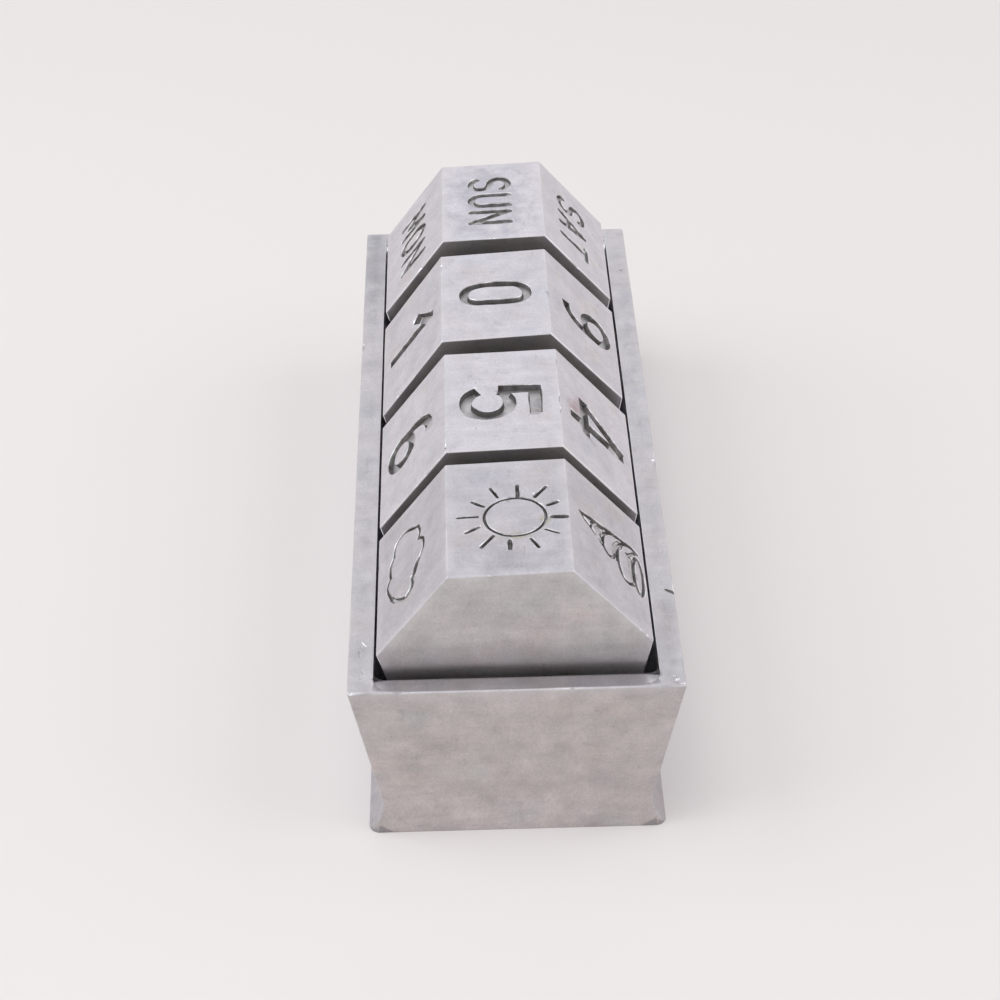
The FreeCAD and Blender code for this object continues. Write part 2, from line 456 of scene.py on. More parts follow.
class Nodes:
    """A material's node tree, filled by short calls."""

    def __init__(self, tree: bpy.types.NodeTree) -> None:
        """Start with an empty tree."""
        self.tree = tree
        tree.nodes.clear()

    def add(self, kind: str, inputs: dict[str | int, object] | None = None, **settings: object) -> bpy.types.Node:
        """Add a node.

        Args:
            kind: the node's type.
            inputs: values or sockets for its inputs, by name or number.
            settings: properties of the node itself.

        Returns:
            The node.
        """
        node = self.tree.nodes.new(kind)
        for name, value in settings.items():
            setattr(node, name, value)
        for name, value in (inputs or {}).items():
            self.feed(node.inputs[name], value)
        return node

    def feed(self, socket: Socket, value: object) -> None:
        """Give an input a fixed value, or link another socket to it.

        Args:
            socket: the input.
            value: the value, or the other socket.
        """
        if isinstance(value, Socket):
            self.tree.links.new(value, socket)
        else:
            socket.default_value = value

    def noise(self, vector: Socket, size_mm: float, detail: float = 3.0, distortion: float = 0.0,
              stretch: Triple | None = None, turn: float = 0.0) -> Socket:
        """Noise about a half.

        Args:
            vector: where it is read.
            size_mm: how large its features are.
            detail: how many finer layers it has.
            distortion: how much it swirls.
            stretch: how many times longer the features are along each axis.
            turn: how far the stretched features are turned, in radians.

        Returns:
            The socket with its value.
        """
        if stretch:
            scale = tuple(1.0 / part for part in stretch)
            vector = self.add("ShaderNodeMapping", {"Vector": vector, "Rotation": (turn, turn / 2, turn),
                                                    "Scale": scale}).outputs[0]
        node = self.add("ShaderNodeTexNoise", {"Vector": vector, "Scale": 1.0 / (size_mm * MM), "Detail": detail,
                                               "Roughness": 0.55, "Distortion": distortion})
        return node.outputs["Fac"]

    def remap(self, value: Socket, low: float, high: float, to_low: float = 0.0,
              to_high: float = 1.0) -> Socket:
        """Stretch a value from one range to another, and hold it there.

        Args:
            value: the socket with the value.
            low: where the first range starts.
            high: where the first range ends.
            to_low: where the second range starts.
            to_high: where the second range ends.

        Returns:
            The socket with the stretched value.
        """
        node = self.add("ShaderNodeMapRange", {"Value": value, "From Min": low, "From Max": high,
                                               "To Min": to_low, "To Max": to_high})
        return node.outputs["Result"]

    def mix(self, share: object, first: object, second: object, blend: str = "MIX") -> Socket:
        """Blend two colours by a share.

        Args:
            share: how much of the second shows, from 0 to 1.
            first: the lower colour.
            second: the upper colour.
            blend: how the second is laid over the first.

        Returns:
            The socket with the colour.
        """
        node = self.add("ShaderNodeMix", data_type="RGBA", blend_type=blend)
        for index, value in ((0, share), (6, first), (7, second)):
            self.feed(node.inputs[index], value)
        return node.outputs[2]

    def maths(self, operation: str, first: object, second: object = 0.0) -> Socket:
        """Work out one sum."""
        return self.add("ShaderNodeMath", {0: first, 1: second}, operation=operation).outputs[0]

    def minus(self, first: object, second: object) -> Socket:
        """One value less another."""
        return self.maths("SUBTRACT", first, second)

    def times(self, first: object, second: object) -> Socket:
        """One value times another."""
        return self.maths("MULTIPLY", first, second)

    def largest(self, first: object, second: object) -> Socket:
        """The larger of two values."""
        return self.maths("MAXIMUM", first, second)

    def reach(self, across: object, up: object) -> Socket:
        """Distance of a point from the origin of its plane."""
        squares = self.maths("ADD", self.times(across, across), self.times(up, up))
        return self.maths("SQRT", squares)

    def smallest(self, *values: object) -> Socket:
        """The smallest of several values.

        Args:
            values: numbers or sockets.

        Returns:
            The socket with the smallest.
        """
        result = values[0]
        for value in values[1:]:
            result = self.maths("MINIMUM", result, value)
        return result

    def apart(self, value: Socket, place: float) -> Socket:
        """How far a value lies from a place, either way."""
        return self.maths("ABSOLUTE", self.minus(value, place))

    def bumps(self, *layers: tuple[Socket, float, float]) -> Socket:
        """Lay several layers of relief over each other.

        Args:
            layers: of each its height's socket, how high it is in millimetres, and how strong.

        Returns:
            The socket with the relief.
        """
        inputs = {}
        for height, distance, strength in layers:
            inputs |= {"Height": height, "Distance": distance * MM, "Strength": strength}
            inputs["Normal"] = self.add("ShaderNodeBump", inputs).outputs[0]
        return inputs["Normal"]

    def shader(self, colour: object, roughness: object, normal: Socket | None = None,
               metallic: float = 1.0) -> None:
        """Finish the material with its shader and its output.

        Args:
            colour: its base colour.
            roughness: its roughness.
            normal: its relief, where it has one.
            metallic: how much of it is metal.
        """
        inputs = {"Base Color": colour, "Metallic": metallic, "Roughness": roughness}
        if normal is not None:
            inputs["Normal"] = normal
        made = self.add("ShaderNodeBsdfPrincipled", inputs)
        self.add("ShaderNodeOutputMaterial", {"Surface": made.outputs[0]})


def new_material(name: str) -> tuple[bpy.types.Material, Nodes]:
    """Make a material with an empty node tree.

    Args:
        name: the material's name.

    Returns:
        The material and its nodes.
    """
    material = bpy.data.materials.new(name)
    material.use_nodes = True
    return material, Nodes(material.node_tree)


@dataclass(frozen=True)
class PrismArrises:
    """Where the arrises of a many-sided block run, in metres and radians.

    Attributes:
        axis: middle of the block.
        lean: direction of one face, about the X axis, from +Z towards -Y.
        sides: how many side faces it has.
        apothem: from the middle to a side face.
        half_length: from the middle to an end face.
    """

    axis: Vector
    lean: float
    sides: int
    apothem: float
    half_length: float

    def distance(self, nodes: Nodes, place: Socket) -> Socket:
        """Find how far a point lies from the nearest arris.

        Args:
            nodes: the material's nodes.
            place: a point of the surface.

        Returns:
            The socket with the distance, in metres.
        """
        parts = nodes.add("ShaderNodeSeparateXYZ", {0: place}).outputs
        from_end = nodes.minus(self.half_length, nodes.apart(parts["X"], self.axis.x))
        across = nodes.minus(self.axis.y, parts["Y"])
        up = nodes.minus(parts["Z"], self.axis.z)
        reach = nodes.reach(across, up)
        turn = nodes.minus(nodes.maths("ARCTAN2", across, up), self.lean)
        face_turn = math.tau / self.sides
        folded = nodes.minus(turn, nodes.maths("SNAP", nodes.maths("ADD", turn, face_turn / 2), face_turn))
        from_side = nodes.minus(self.apothem, nodes.times(reach, nodes.maths("COSINE", folded)))
        sideways = nodes.times(reach, nodes.maths("ABSOLUTE", nodes.maths("SINE", folded)))
        from_arris = nodes.minus(self.apothem * math.tan(face_turn / 2), sideways)
        return nodes.smallest(nodes.largest(from_side, from_end), nodes.largest(from_side, from_arris))

    def rubbed_and_lit_inside(self, nodes: Nodes, place: Socket) -> float:
        """How much a point is polished by other pieces and painted lighter as fill light: nowhere, on a block."""
        return 0.0


@dataclass(frozen=True)
class TrayArrises:
    """Where the upper arrises of the tray run, in metres.

    Attributes:
        high: the tray's highest corner.
        trough: from the middle to the trough's edge.
        trough_end: from the middle to the trough's end.
        axis_height: height of the middle line that the blocks turn about.
        blur: over what depth the trough's bright metal starts.
    """

    high: Vector
    trough: float
    trough_end: float
    axis_height: float
    blur: float = 0.1 * MM

    def distance(self, nodes: Nodes, place: Socket) -> Socket:
        """Find how far a point lies from the nearest arris.

        Args:
            nodes: the material's nodes.
            place: a point of the surface.

        Returns:
            The socket with the distance, in metres.
        """
        parts = nodes.add("ShaderNodeSeparateXYZ", {0: place}).outputs
        sideways = nodes.maths("ABSOLUTE", parts["Y"])
        from_end = nodes.minus(self.high.x, nodes.maths("ABSOLUTE", parts["X"]))
        along_rim = nodes.smallest(from_end, nodes.minus(self.high.y, sideways), nodes.apart(sideways, self.trough))
        return nodes.largest(nodes.minus(self.high.z, parts["Z"]), along_rim)

    def rubbed_and_lit_inside(self, nodes: Nodes, place: Socket) -> Socket:
        """Find how much the blocks rub a point, which also sets how much painted fill light lightens it in the dark
        trough.

        Args:
            nodes: the material's nodes.
            place: a point of the surface.

        Returns:
            The socket with the share, from 0 outside the trough to 1 in it.
        """
        parts = nodes.add("ShaderNodeSeparateXYZ", {0: place}).outputs
        reach = nodes.reach(parts["Y"], nodes.largest(nodes.minus(self.axis_height, parts["Z"]), 0.0))
        depth = nodes.smallest(nodes.minus(self.high.z, parts["Z"]), nodes.minus(self.trough + self.blur, reach),
                               nodes.minus(self.trough_end, nodes.maths("ABSOLUTE", parts["X"])))
        return nodes.remap(depth, 0.0, self.blur)


@dataclass(frozen=True)
class Tone:
    """Colours of one dressed surface: its middle colour, and where it is warmer and cooler."""

    middle: Colour
    warm: Colour
    cool: Colour


@dataclass(frozen=True)
class Stain:
    """A soft patch of another tone on a surface.

    Attributes:
        place: its middle, in millimetres in the part's frame.
        reach: how far it spreads along each axis, in millimetres.
        tint: what it multiplies the metal's colour by.
        cover: how strong it is in its middle, from 0 to 1.
        frayed: how far its edge strays, as a share of its reach.
    """

    place: Triple
    reach: Triple
    tint: Triple
    cover: float = 1.0
    frayed: float = 0.45

    def on(self, nodes: Nodes, place: Socket, colour: Socket) -> Socket:
        """Lay the stain over a colour.

        Args:
            nodes: the material's nodes.
            place: a point of the surface.
            colour: the colour below the stain.

        Returns:
            The socket with the stained colour.
        """
        off = place
        for operation, size in (("SUBTRACT", self.place), ("DIVIDE", self.reach)):
            off = nodes.add("ShaderNodeVectorMath", {0: off, 1: tuple(part * MM for part in size)},
                            operation=operation).outputs[0]
        far = nodes.add("ShaderNodeVectorMath", {0: off}, operation="LENGTH").outputs["Value"]
        fray = nodes.remap(nodes.noise(place, 3.0, 4.0), 0.3, 0.7, -self.frayed, self.frayed)
        share = nodes.remap(nodes.maths("ADD", far, fray), 1.0, 0.3, 0.0, self.cover)
        return nodes.mix(share, colour, (*self.tint, 1.0), "MULTIPLY")


PIT_COLOUR = (0.25, 0.24, 0.25, 1.0)
SCORE_COLOUR = (0.36, 0.36, 0.38, 1.0)
SMUDGE_TINT = (0.84, 0.84, 0.85, 1.0)
# Polished metal in the trough where the blocks turn, light enough to paint fill light into the dark gaps between them.
TROUGH_RUBBED_AND_LIT_COLOUR = (0.88, 0.87, 0.89, 1.0)


@dataclass(frozen=True)
class DressedMetal:
    """Bare aluminium, dressed by hand, with arrises polished lighter by hands, a colour that also paints their
    highlight.

    Attributes:
        name: the material's name.
        sides: colours of the faces along the piece.
        ends: colours of the two end faces, which hands polish less.
        rubbed_and_highlit: colour of the arrises where hands have polished them, light enough to paint their highlight
            as well.
        roughness: of the clean surface.
        grain: height of the finest marks, in millimetres.
        unevenness: height of the slow waves that a file leaves, in millimetres.
        stains: its patches of another tone.
        rubbed_and_highlit_band: how wide the polished and painted-highlight band along an arris is, in millimetres.
        pit_share: how much of a pit's colour shows.
        score_share: how much of a score's colour shows.
        score_roughness: how much rougher a score is.
        end_roughness: how much rougher the end faces are.
        handled_and_sheen_within: how far from an arris hands have brightened the metal and a painted sheen lightens
            it, in millimetres.
        handled_and_sheen_share: how much both lighten it.
    """

    name: str
    sides: Tone
    ends: Tone
    rubbed_and_highlit: Colour
    roughness: float
    grain: float
    unevenness: float
    stains: tuple[Stain, ...]
    rubbed_and_highlit_band: float = 0.35
    pit_share: float = 0.7
    score_share: float = 0.35
    score_roughness: float = 0.15
    end_roughness: float = 0.08
    handled_and_sheen_within: float = 2.2
    handled_and_sheen_share: float = 0.3

    def toned(self, nodes: Nodes, tone: Tone, hue: Socket) -> Socket:
        """Colour of one tone, warmer and cooler in patches."""
        colour = nodes.mix(nodes.remap(hue, 0.42, 0.34), tone.middle, tone.cool)
        return nodes.mix(nodes.remap(hue, 0.56, 0.66), colour, tone.warm)

    def material(self, arrises: PrismArrises | TrayArrises) -> bpy.types.Material:
        """Build the node material.

        Args:
            arrises: where the piece's arrises run.

        Returns:
            The material.
        """
        material, nodes = new_material(self.name)
        coordinates = nodes.add("ShaderNodeTexCoord").outputs
        place = coordinates["Object"]

        hue = nodes.noise(place, 11.0, 5.0, 0.2)
        shade = nodes.noise(place, 5.0, 6.0, 0.1)
        smear = nodes.noise(place, 1.6, 3.0, 0.0, (1.0, 5.0, 1.0))
        fine = nodes.noise(place, 0.9, 3.0)
        speckle = nodes.noise(place, 0.45, 2.0)
        marks = nodes.noise(place, 0.7, 2.0, 0.0, (6.0, 1.0, 1.0), 0.7)
        facing = nodes.add("ShaderNodeSeparateXYZ", {0: coordinates["Normal"]}).outputs["X"]
        on_end = nodes.remap(nodes.maths("ABSOLUTE", facing), 0.7, 0.9)
        colour = nodes.mix(on_end, self.toned(nodes, self.sides, hue), self.toned(nodes, self.ends, hue))
        for value, change in ((shade, 0.1), (smear, 0.05), (speckle, 0.07)):
            level = nodes.remap(value, 0.3, 0.7, 1 - change, 1 + change)
            level = nodes.add("ShaderNodeCombineColor", dict.fromkeys(range(3), level)).outputs[0]
            colour = nodes.mix(1.0, colour, level, "MULTIPLY")
        pitted = nodes.times(nodes.remap(fine, 0.7, 0.74), nodes.remap(shade, 0.55, 0.4))
        colour = nodes.mix(nodes.times(pitted, self.pit_share), colour, PIT_COLOUR)
        scored = nodes.remap(marks, 0.7, 0.74)
        colour = nodes.mix(nodes.times(scored, self.score_share), colour, SCORE_COLOUR)

        smudged = nodes.remap(nodes.noise(place, 2.4, 5.0, 0.6, (1.6, 1.0, 1.0), 0.5), 0.6, 0.72, 0.0, 0.7)
        colour = nodes.mix(smudged, colour, SMUDGE_TINT, "MULTIPLY")
        for stain in self.stains:
            colour = stain.on(nodes, place, colour)

        # Along the arrises the colour is lighter: metal polished by handling, which also paints their highlight and a
        # soft sheen beside them.
        distance = arrises.distance(nodes, place)
        ragged = nodes.remap(shade, 0.35, 0.65, 0.3 * self.rubbed_and_highlit_band * MM, 1.6 * self.rubbed_and_highlit_band * MM)
        share = nodes.maths("DIVIDE", distance, ragged)
        handled_and_sheen = nodes.remap(distance, self.handled_and_sheen_within * MM, 0.4 * MM, 0.0, self.handled_and_sheen_share)
        colour = nodes.mix(handled_and_sheen, colour, self.rubbed_and_highlit)
        rubbed_and_highlit_share = nodes.times(nodes.remap(share, 1.0, 0.3), nodes.remap(hue, 0.42, 0.6, 0.0, 0.8))
        colour = nodes.mix(rubbed_and_highlit_share, colour, self.rubbed_and_highlit)
        # Painted fill light inside the trough, on top of its polish from the blocks.
        colour = nodes.mix(arrises.rubbed_and_lit_inside(nodes, place), colour, TROUGH_RUBBED_AND_LIT_COLOUR)

        roughness = nodes.remap(shade, 0.35, 0.65, self.roughness + 0.06, self.roughness - 0.03)
        roughness = nodes.maths("ADD", roughness, nodes.times(scored, self.score_roughness))
        roughness = nodes.maths("ADD", roughness, nodes.times(on_end, self.end_roughness))

        nodes.shader(colour, roughness, self.relief(nodes, place, pitted, marks))
        return material

    def relief(self, nodes: Nodes, place: Socket, pitted: Socket,
               marks: Socket) -> Socket:
        """Surface relief: slow waves, pits, scores, and fine file marks that run two ways.

        Args:
            nodes: the material's nodes.
            place: a point of the surface.
            pitted: how much of a pit a point is, from 0 to 1.
            marks: the noise that scores follow.

        Returns:
            The socket with the relief.
        """
        return nodes.bumps(
            (nodes.noise(place, 7.0, 2.0), self.unevenness, 1.0),
            (nodes.minus(1.0, pitted), self.grain * 2.0, 0.8),
            (nodes.remap(marks, 0.72, 0.66), self.grain * 2.0, 0.6),
            (nodes.noise(place, 0.6, 3.0, 0.0, (14.0, 1.0, 1.0), 0.35), self.grain, 0.5),
            (nodes.noise(place, 0.5, 3.0, 0.0, (1.0, 12.0, 1.0), -0.8), self.grain, 0.5),
        )


@dataclass(frozen=True)
class CutMetal:
    """Aluminium inside a cut, a chip or a dent.

    Attributes:
        name: the material's name.
        colour: bare metal.
        residue: what lies on it.
        cover: how much of it the residue takes, from 0 to 1.
        roughness: of the bare metal.
        grain: height of the tool's marks, in millimetres.
        fade: how softly the residue ends.
    """

    name: str
    colour: Colour
    residue: Colour
    cover: float
    roughness: float = 0.38
    grain: float = 0.015
    fade: float = 0.16

    def material(self) -> bpy.types.Material:
        """Build the node material.

        Returns:
            The material.
        """
        material, nodes = new_material(self.name)
        place = nodes.add("ShaderNodeTexCoord").outputs["Object"]
        edge = 0.7 - 0.4 * self.cover
        covered = nodes.remap(nodes.noise(place, 2.2, 4.0), edge - self.fade, edge + self.fade)
        colour = nodes.mix(covered, self.colour, self.residue)
        roughness = nodes.remap(covered, 0.0, 1.0, self.roughness, self.roughness + 0.25)
        normal = nodes.bumps((nodes.noise(place, 1.2, 2.0), 4 * self.grain, 1.0),
                             (nodes.noise(place, 0.4, 2.0), self.grain, 0.7))
        nodes.shader(colour, roughness, normal)
        return material


@dataclass
class CutLooks:
    """The finishes inside marks, built once and shared by every piece."""

    bare: CutMetal = CutMetal("cut_metal", (0.55, 0.54, 0.55, 1.0), (0.4, 0.385, 0.39, 1.0), 0.4)
    # Dark dirt in thin cuts, and painted shade on groove walls.
    dirty_and_shaded: CutMetal = CutMetal("dirty_and_shaded_cut", (0.3, 0.29, 0.29, 1.0), (0.13, 0.12, 0.115, 1.0), 0.6, 0.42)
    # Bright bared metal in chips and dents, and a painted highlight along groove edges.
    bright: CutMetal = CutMetal("bruised_metal_and_highlight", (0.82, 0.81, 0.83, 1.0), (0.4, 0.39, 0.4, 1.0), 0.5)
    made: list[bpy.types.Material] = field(default_factory=list)

    def materials(self) -> list[bpy.types.Material]:
        """The materials, in the order of Look.

        Returns:
            The finishes, made at the first call and shared after it.
        """
        if not self.made:
            self.made = [self.bare.material(), self.dirty_and_shaded.material(), self.bright.material()]
        return self.made


def new_object(name: str, mesh: Shape, materials: list[bpy.types.Material]) -> bpy.types.Object:
    """Make an object of a bmesh and free the bmesh.

    Args:
        name: the object's name.
        mesh: the finished shape.
        materials: its material slots, in order.

    Returns:
        The object, linked to the scene.
    """
    data = bpy.data.meshes.new(name)
    mesh.to_mesh(data)
    mesh.free()
    for material in materials:
        data.materials.append(material)
    piece = bpy.data.objects.new(name, data)
    bpy.context.scene.collection.objects.link(piece)
    return piece


@dataclass
class Engraver:
    """Lays every cut and knock as a closed shape, and then takes them all away from a piece.

    Attributes:
        step: length of one piece of a groove.
        draft: how much each wall leans in on its way down.
        rim: width and depth of the broken edge along the top of a wall.
        thin: how much of half a narrow cut's width its leaning wall and its broken edge may each take.
        floor_from: how far down a cut its floor's look starts, as a share of its depth.
        above: how far a groove shape stands out of the metal.
        wobble: how far the hand strays.
        wobble_length: over what length it strays.
        pressure: how much a cut widens and narrows, as a share of its width.
        lump: length of the waves that make a knock rough, and how far they go as a share of its least size.
    """

    step: float = 0.8
    draft: float = 0.2
    rim: tuple[float, float] = (0.22, 0.15)
    thin: tuple[float, float] = (0.4, 0.5)
    floor_from: float = 0.95
    above: float = 0.6
    wobble: float = 0.07
    wobble_length: float = 1.9
    pressure: float = 0.14
    lump: tuple[float, float] = (0.35, 0.35)
    mesh: Shape = field(default_factory=bmesh.new)

    def profile(self, cut: Cut) -> list[Vector]:
        """Right half of a groove's section, from its floor up to its top.

        Args:
            cut: the cut.

        Returns:
            Its points, in millimetres across and up.
        """
        half = cut.width / 2
        lean = min(self.draft, half * self.thin[0])
        width, depth = self.rim
        width = min(width, half * self.thin[1])
        return [
            Vector((half - lean, 0.0, -cut.depth)),
            Vector((half, 0.0, -depth)),
            Vector((half + width, 0.0, 0.0)),
            Vector((half + width, 0.0, self.above)),
        ]

    def look_at(self, cut: Cut, height: float) -> Look:
        """Look of a groove's face at a height.

        Args:
            cut: the cut.
            height: how high the face's middle lies above the metal's surface, in millimetres.

        Returns:
            The look: a painted highlight at the edge, dark dirt with painted shade on the walls, and the cut's own on
                the floor.
        """
        # Painted highlight along the top edge; dirt with painted shade on the walls.
        if height > -self.rim[1]:
            return Look.BRIGHT
        return Look.DIRTY_AND_SHADED if height > -self.floor_from * cut.depth else cut.look

    def lay(self, cut: Cut, place: Matrix) -> None:
        """Lay one cut as a closed shape.

        Args:
            cut: the cut.
            place: from millimetres on the face to metres in the block.
        """
        before = set(self.mesh.faces)
        right = self.profile(cut)
        left = [Vector((-point.x, 0.0, point.z)) for point in reversed(right)]
        stations = self.stations(cut.stroke)
        verts = [self.mesh.verts.new(place @ stations[0] @ point) for point in right + left]
        edges = [self.mesh.edges.new(pair) for pair in zip(verts, verts[1:] + verts[:1])]
        first_edges = list(edges)
        for here, there in zip(stations, stations[1:]):
            grown = bmesh.ops.extrude_edge_only(self.mesh, edges=edges)["geom"]
            ahead = {item for item in grown if isinstance(item, bmesh.types.BMVert)}
            edges = [item for item in grown if isinstance(item, bmesh.types.BMEdge) and set(item.verts) <= ahead]
            move = place @ there @ here.inverted() @ place.inverted()
            bmesh.ops.transform(self.mesh, matrix=move, verts=list(ahead))
        if cut.stroke.closed:
            bmesh.ops.bridge_loops(self.mesh, edges=first_edges + edges)
        else:
            bmesh.ops.holes_fill(self.mesh, edges=first_edges)
            bmesh.ops.holes_fill(self.mesh, edges=edges)
            if cut.ending is Ending.ROUND:
                for station in (stations[0], stations[-1]):
                    self.round_off(right, place @ station)
        from_metres = place.inverted()
        for face in set(self.mesh.faces) - before:
            height = (from_metres @ face.calc_center_median()).z
            face.material_index = self.look_at(cut, height).value

    def round_off(self, right: list[Vector], place: Matrix) -> None:
        """Turn a groove's section about its own middle, for a round end.

        Args:
            right: the right half of the section.
            place: from millimetres at the groove's end to metres in the block.
        """
        floor = Vector((0.0, 0.0, right[0].z))
        top = Vector((0.0, 0.0, right[-1].z))
        verts = [self.mesh.verts.new(place @ point) for point in [floor, *right, top]]
        edges = [self.mesh.edges.new(pair) for pair in zip(verts, verts[1:])]
        bmesh.ops.spin(self.mesh, geom=verts + edges, cent=place.to_translation(),
                       axis=place.to_3x3() @ Z_AXIS, angle=math.tau, steps=10, use_merge=True)

    def stations(self, stroke: Stroke) -> list[Matrix]:
        """Find where a groove's section stands along a stroke, and how wide it is there.

        Args:
            stroke: the groove's middle line.

        Returns:
            One matrix for each point, square to the stroke.
        """
        points = [Vector((*point, 0.0)) for point in stroke.points(self.step)]
        result = []
        for index, point in enumerate(points):
            if stroke.closed:
                ahead = points[(index + 1) % len(points)] - points[index - 1]
            else:
                ahead = points[min(index + 1, len(points) - 1)] - points[max(index - 1, 0)]
            along = ahead.normalized()
            across = along.cross(Z_AXIS)
            turned = Matrix((across, along, Z_AXIS)).transposed().to_4x4()
            press = 1 + self.pressure * noise.noise(point / (2 * self.wobble_length))
            result.append(Matrix.Translation(point) @ turned @ Matrix.Diagonal((press, 1.0, 1.0, 1.0)))
        return result

    def engrave(self, sign: Sign, place: Matrix) -> None:
        """Lay every cut of a sign.

        Args:
            sign: the figure.
            place: from millimetres on the face to metres in the block.
        """
        shifted = place @ Matrix.Translation((*sign.shift, 0.0))
        for cut in sign.cuts:
            self.lay(cut, shifted)

    def knock(self, place: Vector, size: Triple, turn: float = 0.0, look: Look = Look.BRIGHT) -> None:
        """Lay one rough lump, to be taken away as a chip or a dent.

        Args:
            place: its middle, in metres.
            size: its half width, half length and depth, in millimetres.
            turn: how far it is turned about the upright, in degrees.
            look: what the metal looks like where it was.
        """
        shape = (Matrix.Translation(place) @ Matrix.Rotation(math.radians(turn), 4, "Z")
                 @ Matrix.Diagonal((*(part * MM for part in size), 1.0)))
        made = bmesh.ops.create_icosphere(self.mesh, subdivisions=2, radius=1.0, matrix=shape)["verts"]
        least = min(size) * MM
        length, share = self.lump
        for vert in made:
            vert.co += noise.noise_vector(vert.co / (length * MM)) * share * least
        for face in {face for vert in made for face in vert.link_faces}:
            face.material_index = look.value

    def take_from(self, piece: bpy.types.Object, looks: CutLooks) -> None:
        """Take everything that was laid away from a piece, for good.

        Args:
            piece: the piece, a closed mesh with no modifiers.
            looks: the finishes inside the marks.
        """
        bmesh.ops.remove_doubles(self.mesh, verts=self.mesh.verts, dist=2 * SAME_PLACE)
        for vert in self.mesh.verts:
            vert.co += noise.noise_vector(vert.co / (self.wobble_length * MM)) * self.wobble * MM
        bmesh.ops.recalc_face_normals(self.mesh, faces=self.mesh.faces)
        tool = new_object("marks", self.mesh, looks.materials())
        modifier = piece.modifiers.new("marks", "BOOLEAN")
        modifier.operation = "DIFFERENCE"
        modifier.solver = "EXACT"
        modifier.use_self = True
        modifier.material_mode = "TRANSFER"
        modifier.object = tool
        graph = bpy.context.evaluated_depsgraph_get()
        marked = bpy.data.meshes.new_from_object(piece.evaluated_get(graph))
        piece.modifiers.clear()
        plain = piece.data
        piece.data = marked
        marked.name = piece.name
        bpy.data.meshes.remove(plain)
        bpy.data.objects.remove(tool)


@dataclass
class HandDressing:
    """What a file leaves on a solid piece.

    Attributes:
        grid: spacing of the points that the file's waves move, in millimetres.
        depth: how deep the waves go, in millimetres.
        wave: length of a wave, in millimetres.
        seed: which way chance falls for this piece.
    """

    grid: float = 3.0
    depth: float = 0.08
    wave: float = 9.0
    seed: int = 0

    def solid(self, node: str) -> Shape:
        """A merged copy of a CAD node's mesh, with whole flat faces.

        Args:
            node: the node's name.

        Returns:
            The copy, in the part's frame.
        """
        mesh = bmesh.new()
        mesh.from_mesh(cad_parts[node].data)
        bmesh.ops.remove_doubles(mesh, verts=mesh.verts, dist=SAME_PLACE)
        bmesh.ops.dissolve_limit(mesh, angle_limit=FLAT_WITHIN, verts=mesh.verts, edges=mesh.edges)
        return mesh

    def dress(self, mesh: Shape) -> None:
        """Slice a solid all ways and let its surface sink in slow waves, never outwards.

        Args:
            mesh: the solid, which is changed.
        """
        low = Vector(min(vert.co[axis] for vert in mesh.verts) for axis in range(3))
        high = Vector(max(vert.co[axis] for vert in mesh.verts) for axis in range(3))
        for axis in range(3):
            normal = Vector(float(index == axis) for index in range(3))
            count = max(2, round((high[axis] - low[axis]) / (self.grid * MM)))
            for index in range(1, count):
                bmesh.ops.bisect_plane(mesh, geom=mesh.verts[:] + mesh.edges[:] + mesh.faces[:], dist=SAME_PLACE,
                                       plane_co=low + (high - low) * (index / count), plane_no=normal)
        bmesh.ops.triangulate(mesh, faces=mesh.faces)
        mesh.normal_update()
        away = Vector((self.seed * 7.3, self.seed * 3.1, 0.0))
        for vert in mesh.verts:
            height = noise.noise(vert.co / (self.wave * MM) + away) - 1.0
            vert.co += vert.normal * height * 0.5 * self.depth * MM


def shade_flat_and_round(piece: bpy.types.Object) -> None:
    """Shade a piece smooth, sharp where it turns, with flat faces kept flat beside their arrises.

    Args:
        piece: the finished piece.
    """
    piece.data.shade_smooth()
    piece.data.set_sharp_from_angle(angle=SHARP_FROM)
    flat = piece.modifiers.new("flat_faces", "WEIGHTED_NORMAL")
    flat.keep_sharp = True


